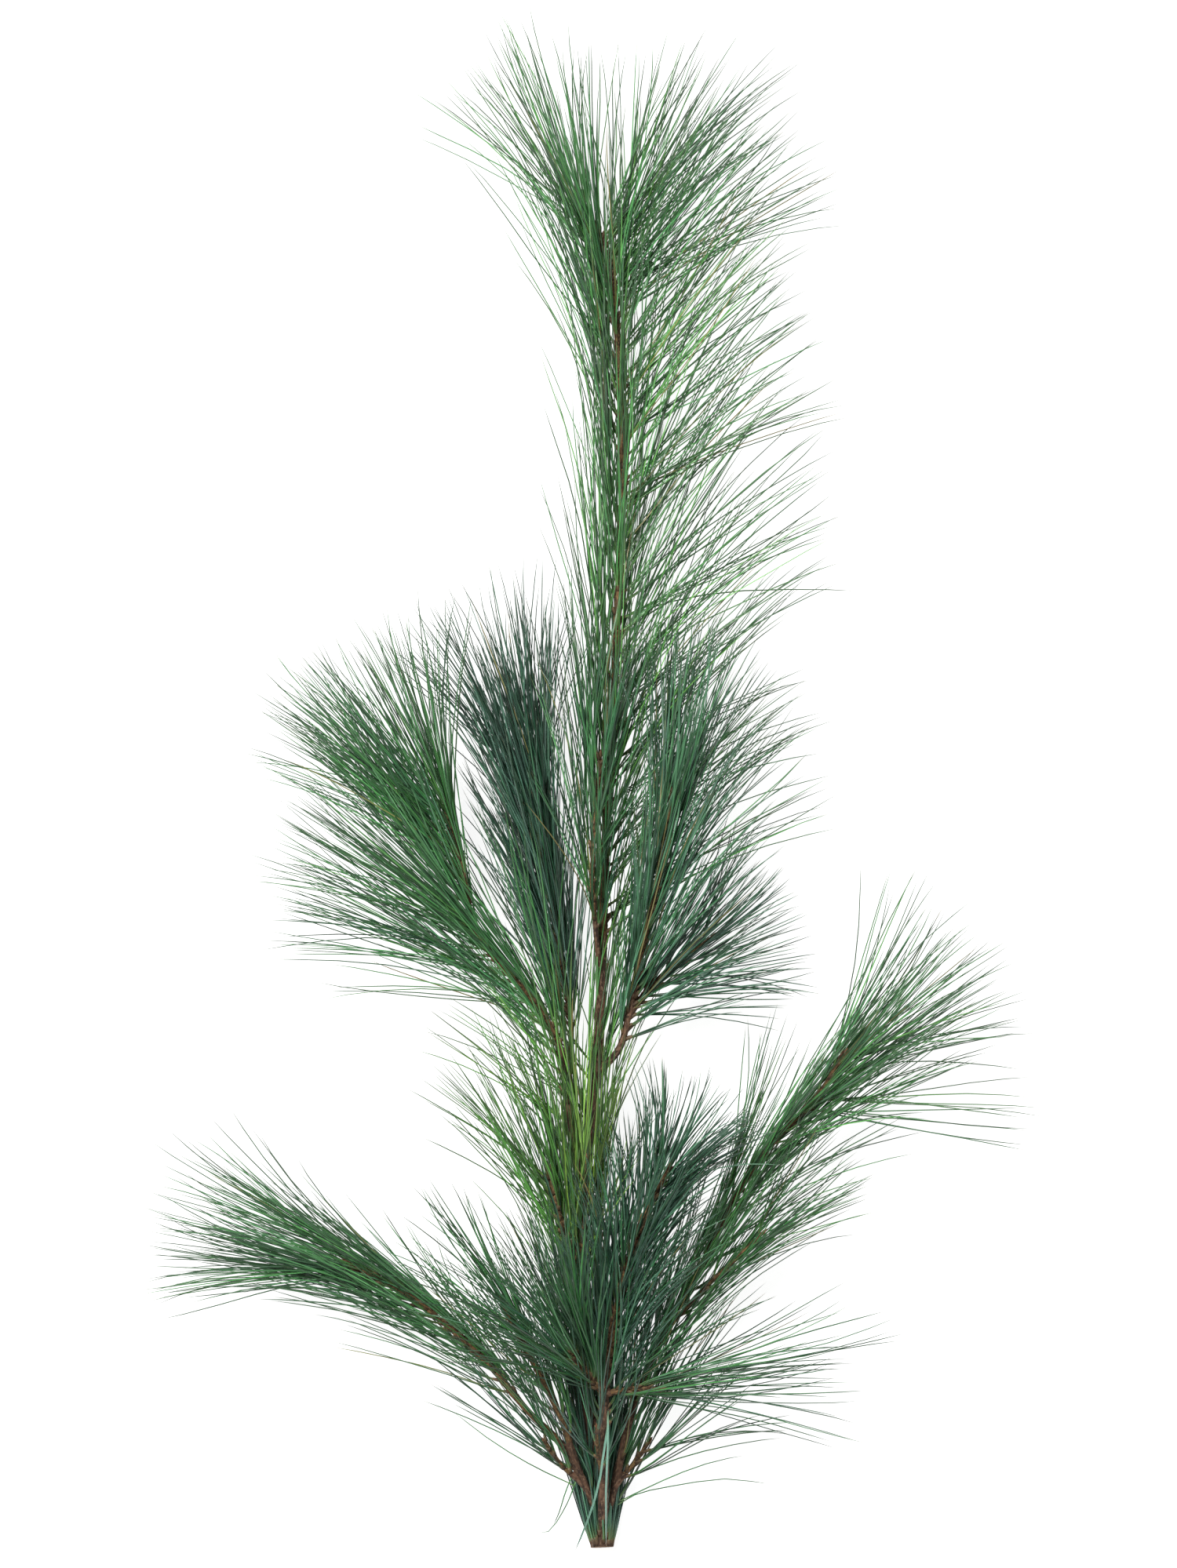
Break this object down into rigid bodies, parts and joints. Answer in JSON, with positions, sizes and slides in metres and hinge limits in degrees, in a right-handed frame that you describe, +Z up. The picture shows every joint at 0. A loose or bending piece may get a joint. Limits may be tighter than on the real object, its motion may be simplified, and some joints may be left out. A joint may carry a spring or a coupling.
{
  "type": "white pine branch",
  "caption": "Cut leafy pine branch lying flat: a woody stem with side stems, all clothed in long soft needles that sweep towards the tip.",
  "frame": {"origin": "on the surface that the branch lies on, under the middle of its box", "axes": "+Y along the branch from its cut end towards the tip of the leader, +Z up from the surface, +X to the right of growth"},
  "size_m": [0.4291, 0.7647, 0.1304],
  "materials": {
    "bark": "young reddish brown bark with scale scars, matt",
    "needle_green": "living needles, mid green, slightly waxy",
    "needle_dark": "living needles, deep blue green, slightly waxy",
    "needle_yellow": "living needles, bright yellow green, slightly waxy"
  },
  "bodies": {
    "root": {"woody_stem": "bark", "needles_leader": "needle_green", "needles_leader_side": "needle_green", "needles_low_left": "needle_green", "needles_low_left_inner": "needle_green", "needles_front": "needle_dark", "needles_front_twig_left": "needle_green", "needles_front_twig_right": "needle_green", "needles_low_right": "needle_green", "needles_low_right_inner": "needle_green", "needles_mid_left": "needle_green", "needles_mid_left_inner": "needle_dark", "needles_mid_right": "needle_dark", "needles_mid_right_outer": "needle_dark", "needles_centre_left": "needle_yellow", "needles_centre_front": "needle_yellow", "needles_base_left": "needle_green", "needles_base_right": "needle_green", "needles_base_front": "needle_dark"}
  },
  "joints": []
}
